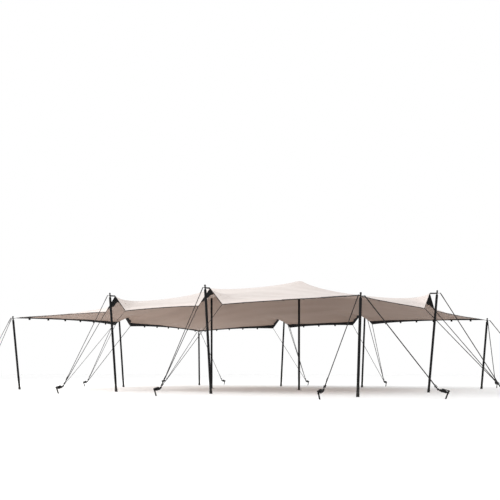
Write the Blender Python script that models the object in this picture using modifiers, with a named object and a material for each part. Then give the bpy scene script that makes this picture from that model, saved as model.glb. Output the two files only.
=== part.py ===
"""Stretch tent: one stretched cloth over twelve poles, guyed to fourteen ground stakes.

Units are metres, +Z is up and the ground is at Z = 0. The origin is the middle of the plan.
+X runs along the long front side, from left to right, and +Y runs from the front to the back.
"""

import math
from collections import namedtuple

import bmesh
import bpy
import numpy as np
from mathutils import Matrix, Vector

# Plan of the pole feet
HALF_LENGTH = 6.39
HALF_WIDTH = 4.92
FRONT_SIDE_X = (-1.77, 1.90)
BACK_SIDE_X = (-2.00, 1.74)
LEFT_SIDE_Y = 0.08
RIGHT_SIDE_Y = -0.22
KING_X = (-1.88, 1.81)

# Heights above the ground
CORNER_POLE_TOP = 2.52
SIDE_POLE_TOP = 3.01
PEAK_HEIGHT = 3.62
CLOTH_CORNER_HEIGHT = 2.46
PICKUP_TIP_HEIGHT = 2.93
PICKUP_FOOT_HEIGHT = 2.465

# The outer poles lean away from the tent
POLE_LEAN = math.radians(5.1)
POLE_RADIUS = 0.036
FERRULE_RADIUS = 0.042
FERRULE_HEIGHT = 0.09
BURIED = 0.03
SPIGOT_RADIUS = 0.012
SPIGOT_TOP = 0.053
SPIGOT_FOOT = 0.115
CONE_FOOT = 0.150
FINIAL_RADIUS = 0.028
POLE_SIDES = 12
KING_PLATE_RADIUS = 0.095
KING_PLATE_THICKNESS = 0.012
KING_CONE_HEIGHT = 0.08
BASE_PLATE_RADIUS = 0.09
BASE_PLATE_THICKNESS = 0.008

# Cloth: a flat cut stretched between its supports
CORNER_STRAP = 0.15
TIP_STRAP = 0.235
PICKUP_HALF_WIDTH = 0.42
PICKUP_INNER = 0.20
PICKUP_FEET_OUT = 0.03
BORDER_WIDTH = 0.085
CELL = 0.44
CLOTH_THICKNESS = 0.010
BORDER_THICKNESS = 0.005
PLATEAU_HALF = 0.10

# The border hangs below the cloth beside it, by these amounts at distances from a pickup's middle
DROP_PLACES = (0, 0.12, 0.30, 0.42, 0.60, 1.5, 3.0)
DROPS = (0, -0.030, -0.030, 0.030, 0.062, 0.042, 0.012)
DROP_FADE = 1.3

# Pulls in the cloth, as shares of its pull per metre far from any pole
EDGE_PULL = 15.0
PICKUP_EDGE_PULL = 60.0
KING_PULL = 3.6
KING_PULL_REACH = 0.30
RIDGE_PULL = 8.5
SPOKE_PULL = 2.8

# Guys, tensioners and stakes
SIDE_GUY_REACH = 2.25
CORNER_GUY_REACH_ALONG_X = 2.18
CORNER_GUY_REACH_ALONG_Y = 1.88
STRAP_WIDTH = 0.025
STRAP_THICKNESS = 0.003
TIE_DOWN_WIDTH = 0.021
TIE_DOWN_THICKNESS = 0.004
PICKUP_STRAP_WIDTH = 0.007
PICKUP_STRAP_HEIGHT = 0.040
KNOT_RADIUS = 0.012
GUY_ARM = 0.10
GUY_ARM_THICKNESS = 0.010
RING_BALL_RADIUS = 0.026
LOOP_WALL = 0.010
LOOP_HEIGHT = 0.012
LOOP_SIDES = 8
SLOTS = (0.092, 0.076)
TENSIONER_SCALE = 1.35
TENSIONER_RUN = 0.232
TENSIONER_RISE = 0.074
STAKE_RADIUS = 0.018
STAKE_HEAD_RADIUS = 0.030
STAKE_HEAD_HEIGHT = 0.022
STAKE_HEIGHT = 0.195
STAKE_LEAN = math.radians(22)
STAKE_LOOP_AT = 0.150
STAKE_LOOP_HEIGHT = 0.026
STAKE_LOOP_WALL = 0.005
STAKE_SIDES = 8

# Faces that touch keep this much air between them
SEAT = 0.0003
KNOT_SEAT = 0.0005

Station = namedtuple("Station", "name foot outward top")
DIAGONAL = math.sqrt(0.5)

CORNERS = [
    Station("front_left_corner", (-HALF_LENGTH, -HALF_WIDTH), (-DIAGONAL, -DIAGONAL), CORNER_POLE_TOP),
    Station("front_right_corner", (HALF_LENGTH, -HALF_WIDTH), (DIAGONAL, -DIAGONAL), CORNER_POLE_TOP),
    Station("back_right_corner", (HALF_LENGTH, HALF_WIDTH), (DIAGONAL, DIAGONAL), CORNER_POLE_TOP),
    Station("back_left_corner", (-HALF_LENGTH, HALF_WIDTH), (-DIAGONAL, DIAGONAL), CORNER_POLE_TOP),
]
SIDES = [
    Station("front_side_left", (FRONT_SIDE_X[0], -HALF_WIDTH), (0, -1), SIDE_POLE_TOP),
    Station("front_side_right", (FRONT_SIDE_X[1], -HALF_WIDTH), (0, -1), SIDE_POLE_TOP),
    Station("right_side", (HALF_LENGTH, RIGHT_SIDE_Y), (1, 0), SIDE_POLE_TOP),
    Station("back_side_right", (BACK_SIDE_X[1], HALF_WIDTH), (0, 1), SIDE_POLE_TOP),
    Station("back_side_left", (BACK_SIDE_X[0], HALF_WIDTH), (0, 1), SIDE_POLE_TOP),
    Station("left_side", (-HALF_LENGTH, LEFT_SIDE_Y), (-1, 0), SIDE_POLE_TOP),
]
COLOURS = {
    "cloth": (0.80, 0.74, 0.68, 0.85, 0.0),
    "webbing": (0.015, 0.015, 0.016, 0.80, 0.0),
    "pole_black": (0.018, 0.018, 0.020, 0.40, 0.3),
    "steel": (0.28, 0.28, 0.29, 0.45, 0.9),
}


def clear_scene():
    for item in list(bpy.data.objects):
        bpy.data.objects.remove(item, do_unlink=True)


def make_material(name):
    red, green, blue, roughness, metallic = COLOURS[name]
    material = bpy.data.materials.new(name)
    material.use_nodes = True
    shader = material.node_tree.nodes["Principled BSDF"]
    shader.inputs["Base Color"].default_value = (red, green, blue, 1)
    shader.inputs["Roughness"].default_value = roughness
    shader.inputs["Metallic"].default_value = metallic
    return material


def add_object(name, mesh, material, smooth_angle=40):
    """Links a mesh as one named piece of the tent."""
    mesh.name = name
    mesh.materials.clear()
    mesh.materials.append(MATERIALS[material])
    mesh.shade_smooth()
    mesh.set_sharp_from_angle(angle=math.radians(smooth_angle))
    item = bpy.data.objects.new(name, mesh)
    TENT.objects.link(item)
    return item


def evaluated_mesh(item):
    """The mesh of an object with its modifiers applied; the object is removed."""
    bpy.context.view_layer.update()
    graph = bpy.context.evaluated_depsgraph_get()
    mesh = bpy.data.meshes.new_from_object(item.evaluated_get(graph))
    mesh.transform(item.matrix_world)
    bpy.data.objects.remove(item, do_unlink=True)
    return mesh


def scratch_object(name, mesh):
    item = bpy.data.objects.new(name, mesh)
    bpy.context.scene.collection.objects.link(item)
    return item


def turned(profile, sides, closed=False):
    """A solid turned about Z from (radius, height) points that run down its outer side."""
    bm = bmesh.new()
    points = [bm.verts.new((radius, 0, height)) for radius, height in profile]
    for first, second in zip(points, points[1:]):
        bm.edges.new((first, second))
    if closed:
        bm.edges.new((points[-1], points[0]))
    mesh = bpy.data.meshes.new("profile")
    bm.to_mesh(mesh)
    bm.free()
    item = scratch_object("profile", mesh)
    screw = item.modifiers.new("Screw", "SCREW")
    screw.steps = sides
    screw.render_steps = sides
    screw.use_merge_vertices = True
    screw.merge_threshold = 0.00001
    screw.use_smooth_shade = False
    return evaluated_mesh(item)


def fuse(meshes):
    """One solid from several that overlap."""
    base = scratch_object("base", meshes[0])
    others = [scratch_object("other", mesh) for mesh in meshes[1:]]
    for other in others:
        union = base.modifiers.new("Union", "BOOLEAN")
        union.operation = "UNION"
        union.solver = "EXACT"
        union.object = other
    result = evaluated_mesh(base)
    for other in others:
        bpy.data.objects.remove(other, do_unlink=True)
    return result


def cut_at_ground(mesh):
    """Takes away what lies below the ground and closes the cut."""
    bm = bmesh.new()
    bm.from_mesh(mesh)
    everything = bm.verts[:] + bm.edges[:] + bm.faces[:]
    bmesh.ops.bisect_plane(
        bm, geom=everything, dist=1e-6, plane_co=(0, 0, 0), plane_no=(0, 0, -1), clear_outer=True
    )
    rim = [edge for edge in bm.edges if edge.is_boundary]
    bmesh.ops.contextual_create(bm, geom=rim)
    bmesh.ops.recalc_face_normals(bm, faces=bm.faces)
    bm.to_mesh(mesh)
    bm.free()
    return mesh


def frame_along(origin, along, side_hint=(0, 0, 1)):
    """A matrix at origin whose Z axis runs along a direction and whose X axis lies square to the hint."""
    z_axis = Vector(along).normalized()
    x_axis = Vector(side_hint).cross(z_axis)
    if x_axis.length < 1e-6:
        x_axis = Vector((1, 0, 0))
    x_axis.normalize()
    y_axis = z_axis.cross(x_axis)
    rotation = Matrix((x_axis, y_axis, z_axis)).transposed().to_4x4()
    return Matrix.Translation(Vector(origin)) @ rotation


def block(size, matrix):
    """A box of the given size, centred on the matrix."""
    bm = bmesh.new()
    bmesh.ops.create_cube(bm, size=1, matrix=matrix @ Matrix.Diagonal((*size, 1)))
    mesh = bpy.data.meshes.new("block")
    bm.to_mesh(mesh)
    bm.free()
    return mesh


def rod(radius, length, matrix, sides=10):
    """A cylinder of the given length, centred on the matrix, along its Z axis."""
    bm = bmesh.new()
    bmesh.ops.create_cone(
        bm, cap_ends=True, segments=sides, radius1=radius, radius2=radius, depth=length, matrix=matrix
    )
    mesh = bpy.data.meshes.new("rod")
    bm.to_mesh(mesh)
    bm.free()
    return mesh


def ball(radius, centre, pole_direction):
    """A small ball with one of its two pole points turned to a direction."""
    bm = bmesh.new()
    bmesh.ops.create_uvsphere(
        bm, u_segments=8, v_segments=6, radius=radius, matrix=frame_along(centre, pole_direction)
    )
    mesh = bpy.data.meshes.new("ball")
    bm.to_mesh(mesh)
    bm.free()
    return mesh


def strap(start, end, level=STRAP_WIDTH, tall=STRAP_THICKNESS):
    """A straight length of flat webbing between two points, given how wide it is level and how tall."""
    start, end = Vector(start), Vector(end)
    matrix = frame_along((start + end) / 2, end - start)
    return block((level, tall, (end - start).length), matrix)


def loop(inner_radius, wall, height, matrix, sides):
    """A closed band whose flats stay a seat's width clear of the round bar inside it."""
    inner = (inner_radius + SEAT) / math.cos(math.pi / sides)
    outer = inner + wall
    half = height / 2
    mesh = turned([(outer, half), (outer, -half), (inner, -half), (inner, half)], sides, closed=True)
    mesh.transform(matrix @ Matrix.Rotation(math.pi / sides, 4, "Z"))
    return mesh


def foot_point(station):
    return Vector((station.foot[0], station.foot[1], 0))


def outward(station):
    return Vector((station.outward[0], station.outward[1], 0))


def pole_axis(station):
    return (outward(station) * math.tan(POLE_LEAN) + Vector((0, 0, 1))).normalized()


def pole_top(station):
    leaning = outward(station) * station.top * math.tan(POLE_LEAN)
    return foot_point(station) + leaning + Vector((0, 0, station.top))


def on_pole(station, below_top):
    """The point on a pole's axis at a distance below its top."""
    return pole_top(station) - pole_axis(station) * below_top


def corner_hold(station):
    """Where a corner of the cloth is held, just inside its pole's top."""
    point = pole_top(station) - outward(station) * CORNER_STRAP
    point.z = CLOTH_CORNER_HEIGHT
    return point


def tip_hold(station):
    """Where the cloth's edge is picked up, just inside a side pole's top."""
    point = pole_top(station) - outward(station) * TIP_STRAP
    point.z = PICKUP_TIP_HEIGHT
    return point


def along_side(station):
    """The direction along the tent's edge at a side pole, towards +X or +Y."""
    return Vector((abs(station.outward[1]), abs(station.outward[0]), 0))


def pickup_feet(station):
    """The two points beside a side pole where the edge is tied down, lower end first."""
    middle = foot_point(station) + outward(station) * PICKUP_FEET_OUT + Vector((0, 0, PICKUP_FOOT_HEIGHT))
    reach = along_side(station) * PICKUP_HALF_WIDTH
    return middle - reach, middle + reach


def grid_lines(half_span, pickups):
    """Places of the grid lines across the flat cut, and the line number of each pickup's middle."""
    local = (-PICKUP_HALF_WIDTH, -PICKUP_INNER, 0, PICKUP_INNER, PICKUP_HALF_WIDTH)
    lines = [-half_span, -half_span + BORDER_WIDTH]
    middles = []
    for stop in [*pickups, None]:
        end = half_span - BORDER_WIDTH if stop is None else stop - PICKUP_HALF_WIDTH
        count = max(1, round((end - lines[-1]) / CELL))
        lines += list(np.linspace(lines[-1], end, count + 1)[1:])
        if stop is not None:
            middles.append(len(lines) + 1)
            lines += [stop + step for step in local[1:]]
    lines.append(half_span)
    return np.array(lines), middles


def cloth_supports(columns, rows):
    """The grid points that poles and tie-downs hold, as {(column, row): point}."""
    (column_lines, column_middles), (row_lines, row_middles) = columns, rows
    last_column, last_row = len(column_lines) - 1, len(row_lines) - 1
    held = {}
    for station in CORNERS:
        column = 0 if station.outward[0] < 0 else last_column
        row = 0 if station.outward[1] < 0 else last_row
        held[column, row] = corner_hold(station)
    for station in SIDES:
        low, high = pickup_feet(station)
        if station.outward[0] == 0:
            row = 0 if station.outward[1] < 0 else last_row
            column = column_middles[0] if station.foot[0] < 0 else column_middles[1]
            held[column, row] = tip_hold(station)
            held[column - 2, row] = low
            held[column + 2, row] = high
        else:
            column = 0 if station.outward[0] < 0 else last_column
            row = row_middles[0]
            held[column, row] = tip_hold(station)
            held[column, row - 2] = low
            held[column, row + 2] = high
    for centre_x, column in zip(KING_X, column_middles):
        for step_x in (-1, 0, 1):
            for step_y in (-1, 0, 1):
                point = (centre_x + step_x * PLATEAU_HALF, step_y * PLATEAU_HALF, PEAK_HEIGHT)
                held[column + step_x, row_middles[0] + step_y] = Vector(point)
    return held


def stretch_cloth(columns, rows, held):
    """Equilibrium shape of the stretched cloth by force densities, as an array [column, row, xyz].

    Every grid thread pulls its two ends together. The cloth pulls hardest near the king poles, in
    the ridge between them and in the webbing along the border, above all where that is picked up.
    """
    (column_lines, column_middles), (row_lines, row_middles) = columns, rows
    last_column, last_row = len(column_lines) - 1, len(row_lines) - 1
    column_width = np.gradient(column_lines)
    row_width = np.gradient(row_lines)
    king_y = row_lines[row_middles[0]]
    count = (last_column + 1) * (last_row + 1)
    matrix = np.zeros((count, count))

    def cloth_pull(x, y):
        distance = min(math.hypot(x - king_x, y - king_y) for king_x in KING_X)
        return 1 + KING_PULL / (distance + KING_PULL_REACH)

    def border_pull(place, middles):
        in_pickup = any(-2 <= place - middle < 2 for middle in middles)
        return PICKUP_EDGE_PULL if in_pickup else EDGE_PULL

    def add_thread(first, second, density):
        for one, other in ((first, second), (second, first)):
            matrix[one, one] += density
            matrix[one, other] -= density

    for c in range(last_column + 1):
        for r in range(last_row + 1):
            here = c * (last_row + 1) + r
            if c < last_column:
                step = column_lines[c + 1] - column_lines[c]
                pull = cloth_pull(column_lines[c] + step / 2, row_lines[r]) * row_width[r]
                if r in (0, last_row):
                    pull += border_pull(c, column_middles)
                elif r in row_middles:
                    between_kings = column_middles[0] <= c < column_middles[1]
                    pull += RIDGE_PULL if between_kings else SPOKE_PULL
                add_thread(here, here + last_row + 1, pull / step)
            if r < last_row:
                step = row_lines[r + 1] - row_lines[r]
                pull = cloth_pull(column_lines[c], row_lines[r] + step / 2) * column_width[c]
                if c in (0, last_column):
                    pull += border_pull(r, row_middles)
                elif c in column_middles:
                    pull += SPOKE_PULL
                add_thread(here, here + 1, pull / step)

    fixed = np.array([c * (last_row + 1) + r for c, r in held])
    free = np.setdiff1d(np.arange(count), fixed)
    points = np.zeros((count, 3))
    points[fixed] = [tuple(point) for point in held.values()]
    load = -matrix[np.ix_(free, fixed)] @ points[fixed]
    points[free] = np.linalg.solve(matrix[np.ix_(free, free)], load)
    return points.reshape(last_column + 1, last_row + 1, 3)


def smooth_step(value):
    value = np.clip(value, 0, 1)
    return value * value * (3 - 2 * value)


def hang_border(columns, rows, points):
    """Lifts the cloth just inside its edge, so that the border hangs from it."""
    (column_lines, column_middles), (row_lines, row_middles) = columns, rows

    def share(lines, middles):
        """Distance from the nearer end of the lines, how far the border drops there, and its fade."""
        inside = np.minimum(lines - lines[0], lines[-1] - lines)
        off_pickup = np.min([np.abs(lines - lines[middle]) for middle in middles], axis=0)
        drop = np.interp(off_pickup, DROP_PLACES, DROPS)
        return inside, drop, 1 - smooth_step((inside - BORDER_WIDTH) / DROP_FADE)

    inside_x, drop_along_x, fade_x = share(column_lines, column_middles)
    inside_y, drop_along_y, fade_y = share(row_lines, row_middles)
    rise = drop_along_x[:, None] * fade_y[None, :] + drop_along_y[None, :] * fade_x[:, None]
    points[:, :, 2] += rise * smooth_step(np.minimum(inside_x[:, None], inside_y[None, :]) / BORDER_WIDTH)


def cloth_grid(points):
    """An open grid mesh through the stretched points, facing up, in a bmesh."""
    columns, rows = points.shape[:2]
    bm = bmesh.new()
    bmesh.ops.create_grid(bm, x_segments=columns - 1, y_segments=rows - 1, size=1)
    place = {}
    for vert in bm.verts:
        column = round((vert.co.x + 1) / 2 * (columns - 1))
        row = round((vert.co.y + 1) / 2 * (rows - 1))
        place[column, row] = vert
    for (column, row), vert in place.items():
        vert.co = points[column, row]
    bm.normal_update()
    return bm, place


def shell(name, bm, thickness, offset, material):
    """A closed solid of even thickness on an open surface."""
    mesh = bpy.data.meshes.new(name)
    bm.to_mesh(mesh)
    item = scratch_object(name, mesh)
    solidify = item.modifiers.new("Solidify", "SOLIDIFY")
    solidify.thickness = thickness
    solidify.offset = offset
    return add_object(name, evaluated_mesh(item), material, smooth_angle=60)


def make_canopy(points):
    bm, _ = cloth_grid(points)
    shell("canopy", bm, CLOTH_THICKNESS, 1, "cloth")
    bm.free()


def make_border(points):
    """The black webbing border under the cloth's edge, one closed strip."""
    bm, place = cloth_grid(points)
    columns, rows = points.shape[:2]
    lowered = {vert: vert.co - vert.normal * SEAT for vert in bm.verts}
    for vert, where in lowered.items():
        vert.co = where
    edge_verts = {vert for (c, r), vert in place.items() if c in (0, columns - 1) or r in (0, rows - 1)}
    inner = [face for face in bm.faces if not edge_verts & set(face.verts)]
    bmesh.ops.delete(bm, geom=inner, context="FACES")
    shell("border_webbing", bm, BORDER_THICKNESS, -1, "webbing")
    bm.free()


def edge_corner(points, column, row):
    """Middle of the border's outer edge at a grid corner, and the way that points off the cloth."""
    columns, rows = points.shape[:2]
    here = Vector(points[column, row])
    around = []
    for step in (-1, 1):
        if row in (0, rows - 1) and 0 <= column + step < columns:
            around.append(Vector(points[column + step, row]) - here)
        if column in (0, columns - 1) and 0 <= row + step < rows:
            around.append(Vector(points[column, row + step]) - here)
    away = -(around[0].normalized() + around[1].normalized())
    bm, place = cloth_grid(points)
    normal = place[column, row].normal.copy()
    bm.free()
    away = (away - normal * away.dot(normal)).normalized()
    return here - normal * (SEAT + BORDER_THICKNESS / 2), away


def make_outer_pole(station):
    """A leaning pole with a rubber ferrule, a spigot for the straps and a round finial."""
    length = station.top / pole_axis(station).z
    finial_centre = length - FINIAL_RADIUS
    finial = [
        (FINIAL_RADIUS * math.sin(angle), finial_centre + FINIAL_RADIUS * math.cos(angle))
        for angle in map(math.radians, (0, 36, 72, 108, 144))
    ]
    profile = [
        *finial,
        (SPIGOT_RADIUS, length - SPIGOT_TOP),
        (SPIGOT_RADIUS, length - SPIGOT_FOOT),
        (SPIGOT_RADIUS + 0.005, length - SPIGOT_FOOT),
        (POLE_RADIUS, length - CONE_FOOT),
        (POLE_RADIUS, FERRULE_HEIGHT),
        (FERRULE_RADIUS, FERRULE_HEIGHT - 0.004),
        (FERRULE_RADIUS, -BURIED),
        (0, -BURIED),
    ]
    pole = turned(profile, POLE_SIDES)
    pole.transform(frame_along(foot_point(station), pole_axis(station)))
    add_object(f"pole_{station.name}", cut_at_ground(pole), "pole_black")


def make_king_pole(name, centre_x):
    """An upright pole with a round plate under the cloth's peak and a base plate on the ground."""
    length = PEAK_HEIGHT - SEAT
    profile = [
        (0, length),
        (KING_PLATE_RADIUS, length),
        (KING_PLATE_RADIUS, length - KING_PLATE_THICKNESS),
        (POLE_RADIUS + 0.01, length - KING_CONE_HEIGHT),
        (POLE_RADIUS, length - KING_CONE_HEIGHT - 0.01),
        (POLE_RADIUS, BASE_PLATE_THICKNESS + 0.03),
        (POLE_RADIUS + 0.008, BASE_PLATE_THICKNESS),
        (BASE_PLATE_RADIUS, BASE_PLATE_THICKNESS),
        (BASE_PLATE_RADIUS, 0),
        (0, 0),
    ]
    mesh = turned(profile, POLE_SIDES + 4)
    mesh.transform(Matrix.Translation((centre_x, 0, 0)))
    add_object(f"king_pole_{name}", mesh, "pole_black")


def anchor_frame(station, direction, reach):
    """Ground point, stake axis, loop centre and ring-ball centre of one anchor."""
    ground = foot_point(station) + direction * reach
    axis = (direction * math.tan(STAKE_LEAN) + Vector((0, 0, 1))).normalized()
    loop_centre = ground + axis * STAKE_LOOP_AT
    ring_ball = loop_centre - direction * TENSIONER_RUN + Vector((0, 0, TENSIONER_RISE))
    return ground, axis, loop_centre, ring_ball


def make_stake(name, ground, axis):
    """A steel ground stake, from ground level up, leaning away from the tent."""
    top = STAKE_HEIGHT / axis.z
    profile = [
        (0, top),
        (STAKE_HEAD_RADIUS * 0.8, top),
        (STAKE_HEAD_RADIUS, top - 0.004),
        (STAKE_HEAD_RADIUS, top - STAKE_HEAD_HEIGHT),
        (STAKE_RADIUS, top - STAKE_HEAD_HEIGHT),
        (STAKE_RADIUS, -BURIED),
        (0, -BURIED),
    ]
    mesh = turned(profile, STAKE_SIDES)
    mesh.transform(frame_along(ground, axis))
    add_object(f"stake_{name}", cut_at_ground(mesh), "steel")


def make_tensioner(name, axis, loop_centre, ring_ball):
    """A ratchet with its handle shut, and the short sling that loops round the stake."""
    along = (loop_centre - ring_ball).normalized()
    nose = RING_BALL_RADIUS + SEAT
    upright = frame_along(ring_ball + along * nose, along) @ Matrix.Rotation(math.pi, 4, "Z")
    frame = upright @ Matrix.Scale(TENSIONER_SCALE, 4)

    def at(x, y, z):
        return frame @ Matrix.Translation((x, y, z))

    across = Matrix.Rotation(math.pi / 2, 4, "Y")
    half = 0.024
    parts = [block((2 * half - 0.003, 0.012, 0.020), at(0, 0, 0.010))]
    for side in (-1, 1):
        parts.append(block((0.004, 0.036, 0.125), at(side * (half - 0.002), 0, 0.0755)))
        parts.append(block((0.0034, 0.030, 0.060), at(side * (half - 0.0072), -0.024, 0.079)))
        parts.append(rod(0.023, 0.003, at(side * (half - 0.0045), 0, 0.060) @ across, 12))
    parts.append(rod(0.013, 2 * half - 0.002, at(0, 0, 0.060) @ across, 8))
    parts.append(block((2 * half - 0.014, 0.007, 0.078), at(0, -0.0345, 0.0965)))
    parts.append(rod(0.0065, 2 * half - 0.003, at(0, 0, 0.129) @ across, 8))
    tail_start = at(0, 0, 0.129).translation
    tail_end = loop_centre - along * (STAKE_RADIUS + STAKE_LOOP_WALL * 0.8)
    parts.append(strap(tail_start, tail_end))
    parts.append(loop(STAKE_RADIUS, STAKE_LOOP_WALL, STAKE_LOOP_HEIGHT, frame_along(loop_centre, axis), 8))
    add_object(f"ratchet_{name}", fuse(parts), "steel")


def make_guy(name, station, slot, along, ring_ball, tie_downs, tip):
    """The straps to one ring from an arm on a pole's spigot and from the tied-down edge beside it.

    A tip is the cloth's corner or pickup, held to the same spigot by a short strap.
    """
    spigot = on_pole(station, slot)
    loop_skin = SPIGOT_RADIUS + LOOP_WALL * 0.7
    parts = [
        ball(RING_BALL_RADIUS, ring_ball, along),
        loop(SPIGOT_RADIUS, LOOP_WALL, LOOP_HEIGHT, frame_along(spigot, pole_axis(station)), LOOP_SIDES),
    ]

    def level_towards(end):
        level = end - spigot
        level.z = 0
        return level.normalized()

    def strap_from_loop(end, *size):
        parts.append(strap(spigot + level_towards(end) * loop_skin, end, *size))

    def knot_at(hold):
        corner, away = hold
        centre = corner + away * (KNOT_RADIUS + KNOT_SEAT)
        parts.append(ball(KNOT_RADIUS, centre, -away))
        return centre

    eye = spigot + level_towards(ring_ball) * GUY_ARM
    strap_from_loop(eye, GUY_ARM_THICKNESS, GUY_ARM_THICKNESS)
    parts.append(ball(KNOT_RADIUS, eye, eye - spigot))
    guy_size, tie_down_size = (STRAP_WIDTH, STRAP_THICKNESS), (TIE_DOWN_WIDTH, TIE_DOWN_THICKNESS)
    # The straps that run along the tent stand on edge; those that run across it lie flat
    if abs(along.x) > abs(along.y):
        guy_size, tie_down_size = guy_size[::-1], tie_down_size[::-1]
    parts.append(strap(eye, ring_ball, *guy_size))
    if tip:
        pickup_size = (PICKUP_STRAP_WIDTH, PICKUP_STRAP_HEIGHT)
        strap_from_loop(knot_at(tip), *(pickup_size if tie_downs else ()))
    for hold in tie_downs:
        parts.append(strap(knot_at(hold), ring_ball, *tie_down_size))
    add_object(f"guy_{name}", fuse(parts), "webbing")


def make_anchor(name, station, direction, reach, slot, tie_downs=(), tip=None):
    ground, axis, loop_centre, ring_ball = anchor_frame(station, direction, reach)
    make_stake(name, ground, axis)
    make_tensioner(name, axis, loop_centre, ring_ball)
    make_guy(name, station, slot, loop_centre - ring_ball, ring_ball, tie_downs, tip)


def grid_place(held, point):
    """The (column, row) at which the cloth is held at a point."""
    return min(held, key=lambda key: (held[key] - point).length)


def build():
    half_length = abs(corner_hold(CORNERS[0]).x)
    half_width = abs(corner_hold(CORNERS[0]).y)
    columns = grid_lines(half_length, KING_X)
    rows = grid_lines(half_width, [(LEFT_SIDE_Y + RIGHT_SIDE_Y) / 2])
    held = cloth_supports(columns, rows)
    points = stretch_cloth(columns, rows, held)
    hang_border(columns, rows, points)
    make_canopy(points)
    make_border(points)
    for station in CORNERS:
        make_outer_pole(station)
        end_name = "left" if station.outward[0] < 0 else "right"
        side_name = "front" if station.outward[1] < 0 else "back"
        to_end = Vector((math.copysign(1, station.outward[0]), 0, 0))
        to_side = Vector((0, math.copysign(1, station.outward[1]), 0))
        tip = edge_corner(points, *grid_place(held, corner_hold(station)))
        name = f"{station.name}_to_{end_name}"
        make_anchor(name, station, to_end, CORNER_GUY_REACH_ALONG_X, SLOTS[0], tip=tip)
        name = f"{station.name}_to_{side_name}"
        make_anchor(name, station, to_side, CORNER_GUY_REACH_ALONG_Y, SLOTS[1])
    for station in SIDES:
        make_outer_pole(station)
        tip = edge_corner(points, *grid_place(held, tip_hold(station)))
        tie_downs = [edge_corner(points, *grid_place(held, foot)) for foot in pickup_feet(station)]
        make_anchor(station.name, station, outward(station), SIDE_GUY_REACH, SLOTS[0], tie_downs, tip)
    for name, centre_x in zip(("left", "right"), KING_X):
        make_king_pole(name, centre_x)


clear_scene()
TENT = bpy.data.collections.new("stretch_tent")
bpy.context.scene.collection.children.link(TENT)
MATERIALS = {name: make_material(name) for name in COLOURS}
build()
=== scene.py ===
"""Looks of the stretch tent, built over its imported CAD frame."""

import math
from collections import namedtuple

import bmesh
import bpy
import numpy as np
from mathutils import Matrix, Vector


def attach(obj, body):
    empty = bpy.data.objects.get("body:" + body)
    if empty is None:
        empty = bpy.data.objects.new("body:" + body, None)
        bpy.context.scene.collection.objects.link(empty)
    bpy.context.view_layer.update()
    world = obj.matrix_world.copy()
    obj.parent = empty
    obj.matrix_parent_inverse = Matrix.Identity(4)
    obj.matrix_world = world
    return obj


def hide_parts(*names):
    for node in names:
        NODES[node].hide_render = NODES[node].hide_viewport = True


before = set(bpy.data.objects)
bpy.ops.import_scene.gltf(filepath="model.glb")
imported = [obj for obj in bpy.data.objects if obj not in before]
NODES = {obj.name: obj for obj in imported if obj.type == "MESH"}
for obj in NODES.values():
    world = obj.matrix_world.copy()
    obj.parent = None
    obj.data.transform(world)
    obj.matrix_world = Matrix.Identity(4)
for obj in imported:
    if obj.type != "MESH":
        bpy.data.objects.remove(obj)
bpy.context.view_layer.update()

# The same driving values as the part's source
HALF_LENGTH, HALF_WIDTH = 6.39, 4.92
FRONT_SIDE_X, BACK_SIDE_X = (-1.77, 1.90), (-2.00, 1.74)
LEFT_SIDE_Y, RIGHT_SIDE_Y = 0.08, -0.22
KING_X = (-1.88, 1.81)
CORNER_POLE_TOP, SIDE_POLE_TOP, PEAK_HEIGHT = 2.52, 3.01, 3.62
CLOTH_CORNER_HEIGHT, PICKUP_TIP_HEIGHT, PICKUP_FOOT_HEIGHT = 2.46, 2.93, 2.465
POLE_LEAN = math.radians(5.1)
CORNER_STRAP, TIP_STRAP = 0.15, 0.235
PICKUP_HALF_WIDTH, PICKUP_FEET_OUT = 0.42, 0.03
EDGE_PULL, PICKUP_EDGE_PULL = 15.0, 60.0
KING_PULL, KING_PULL_REACH = 3.6, 0.30
RIDGE_PULL, SPOKE_PULL = 8.5, 2.8
DIAGONAL = math.sqrt(0.5)

# Guys and anchors
SIDE_GUY_REACH, CORNER_GUY_REACH_ALONG_X, CORNER_GUY_REACH_ALONG_Y = 2.25, 2.18, 1.88
SLOTS = (0.092, 0.076)
GUY_ARM = 0.10
RING_BALL_RADIUS = 0.026
TENSIONER_SCALE, TENSIONER_RUN, TENSIONER_RISE = 1.35, 0.232, 0.074
STAKE_LEAN, STAKE_LOOP_AT = math.radians(22), 0.150
SPIGOT_RADIUS = 0.012
STRAP_WIDTH = 0.025
SEAT_GAP = 0.0003

# Camera
SENSOR_WIDTH, FOCAL_LENGTH, SHIFT_UP = 36, 51.88, 0.2433
CAMERA_PLACE, CAMERA_TURN = (14.17, -20.76, 0.615), math.radians(34.66)
NEAR_CLIP, FAR_CLIP = 0.1, 300

# Light and floor
HORIZON_STRENGTH, ZENITH_STRENGTH = 1.0, 0.57
ZENITH_SPAN = (0.50, 0.90)
FRONT, FRONT_FILL = (0.569, -0.822, 0.0), 2.2
FRONT_SPAN = (0.1, 0.8)
KEY_PLACE, KEY_TARGET = (-24, -10, 11), (-2, -1, 1)
KEY_SIZE, KEY_POWER, KEY_COLOUR = 8, 4800, (1.0, 0.985, 0.965)
FLOOR_HALF, FLOOR_TONES = 120, (0.96, 0.975)

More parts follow.
